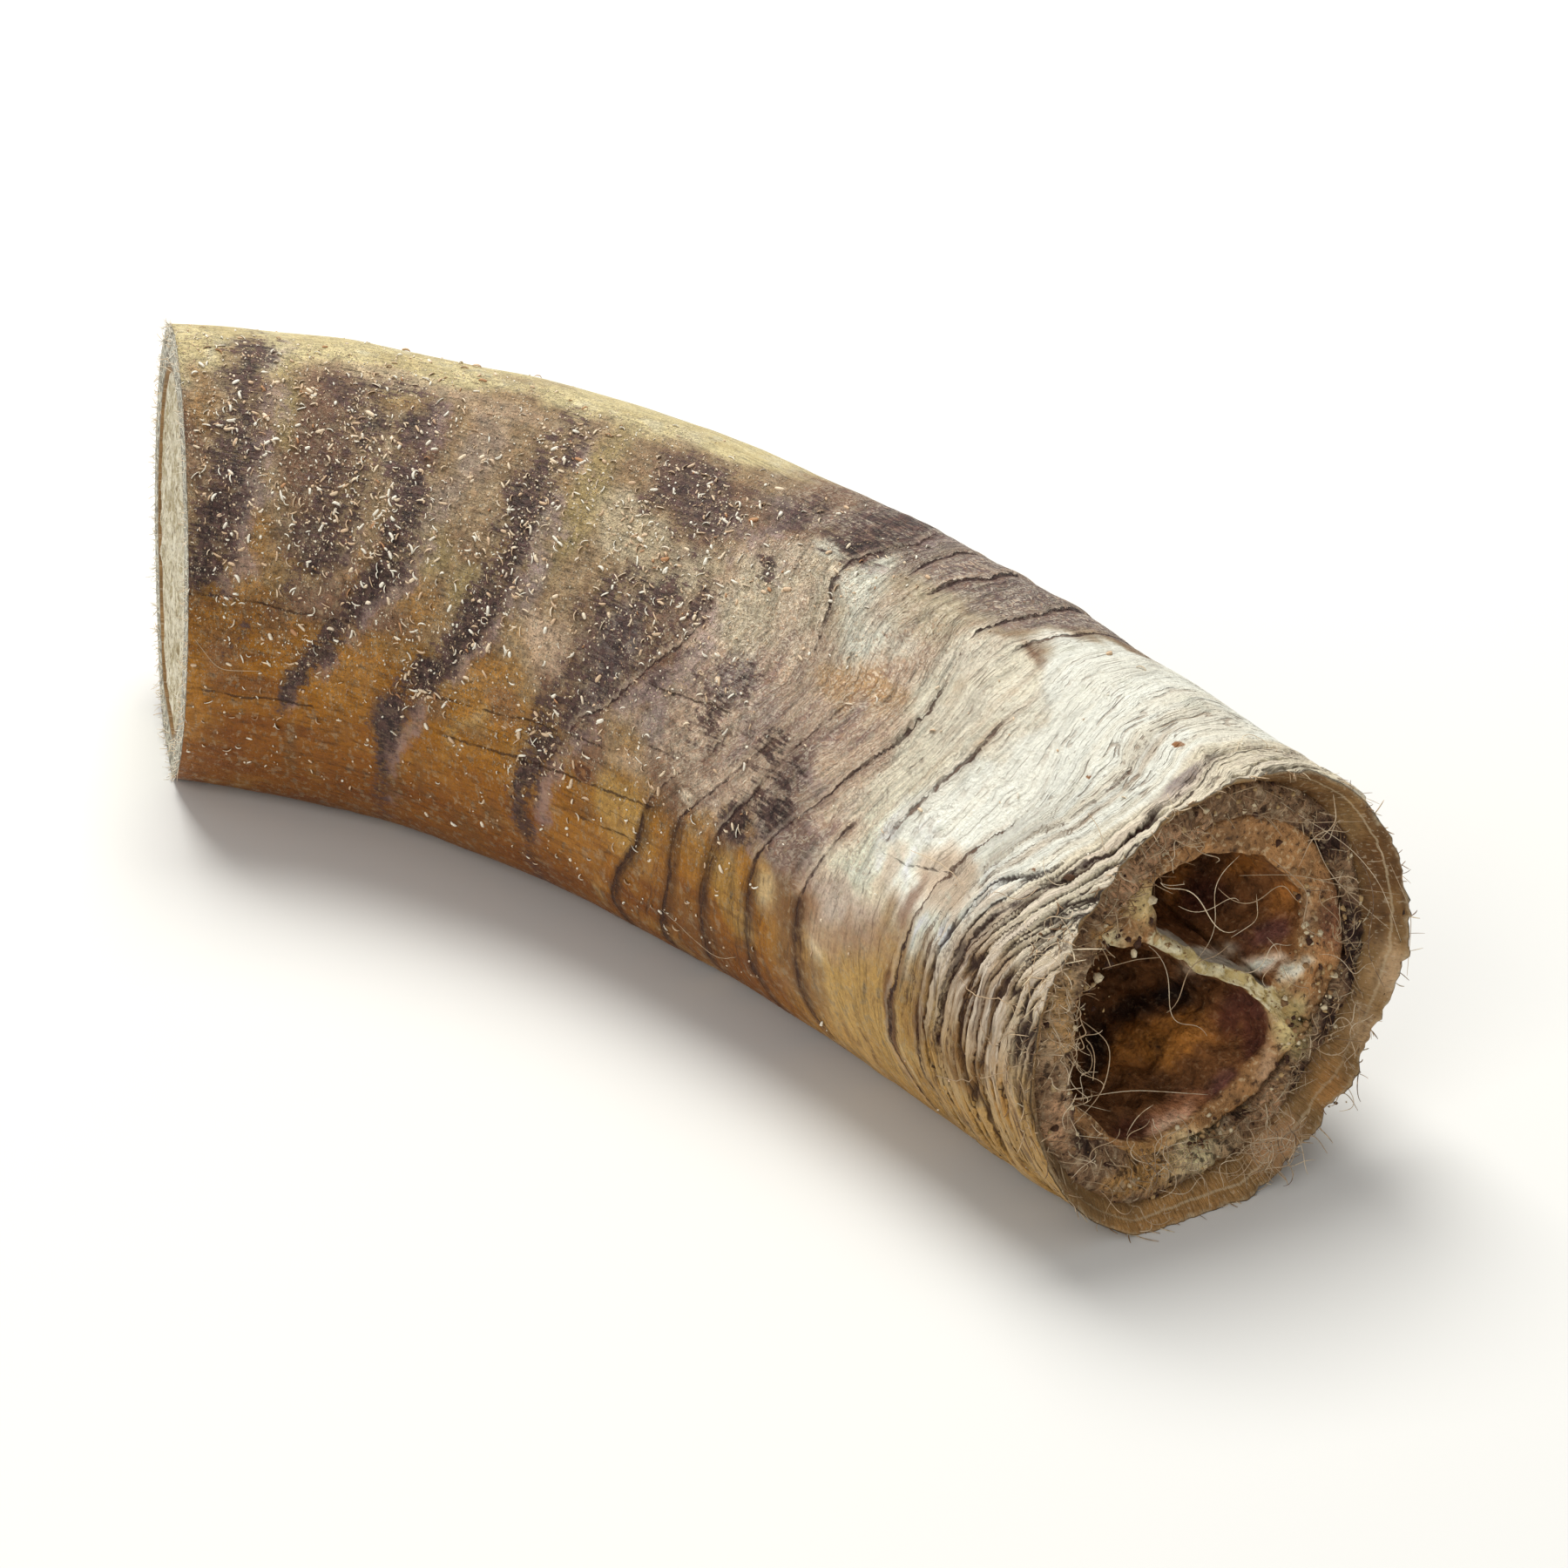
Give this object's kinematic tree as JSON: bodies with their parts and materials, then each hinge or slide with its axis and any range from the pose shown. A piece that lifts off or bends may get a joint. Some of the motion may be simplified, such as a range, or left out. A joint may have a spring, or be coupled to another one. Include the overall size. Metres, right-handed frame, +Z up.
{
  "type": "goat horn",
  "caption": "Sawn base length of a curved goat horn lying on its side: ridged keratin sheath over a bony core with open chambers at the mouth.",
  "frame": {"origin": "centre of the bounding box, on the surface the horn lies on", "axes": "+X along the chord from the sawn end to the open base, +Y towards the outer side of the bend, +Z up"},
  "size_m": [0.155, 0.0544, 0.0457],
  "materials": {
    "keratin": "dry horn keratin, satin, striped amber and dark brown, cream and ridged at the base",
    "bone": "matte, porous, stained cream to red-brown bone",
    "dried_tissue": "matte, crusty, very dark brown dried tissue"
  },
  "bodies": {
    "root": {"horn_sheath": "keratin", "bone_core": "bone", "dried_tissue": "dried_tissue"}
  },
  "joints": []
}
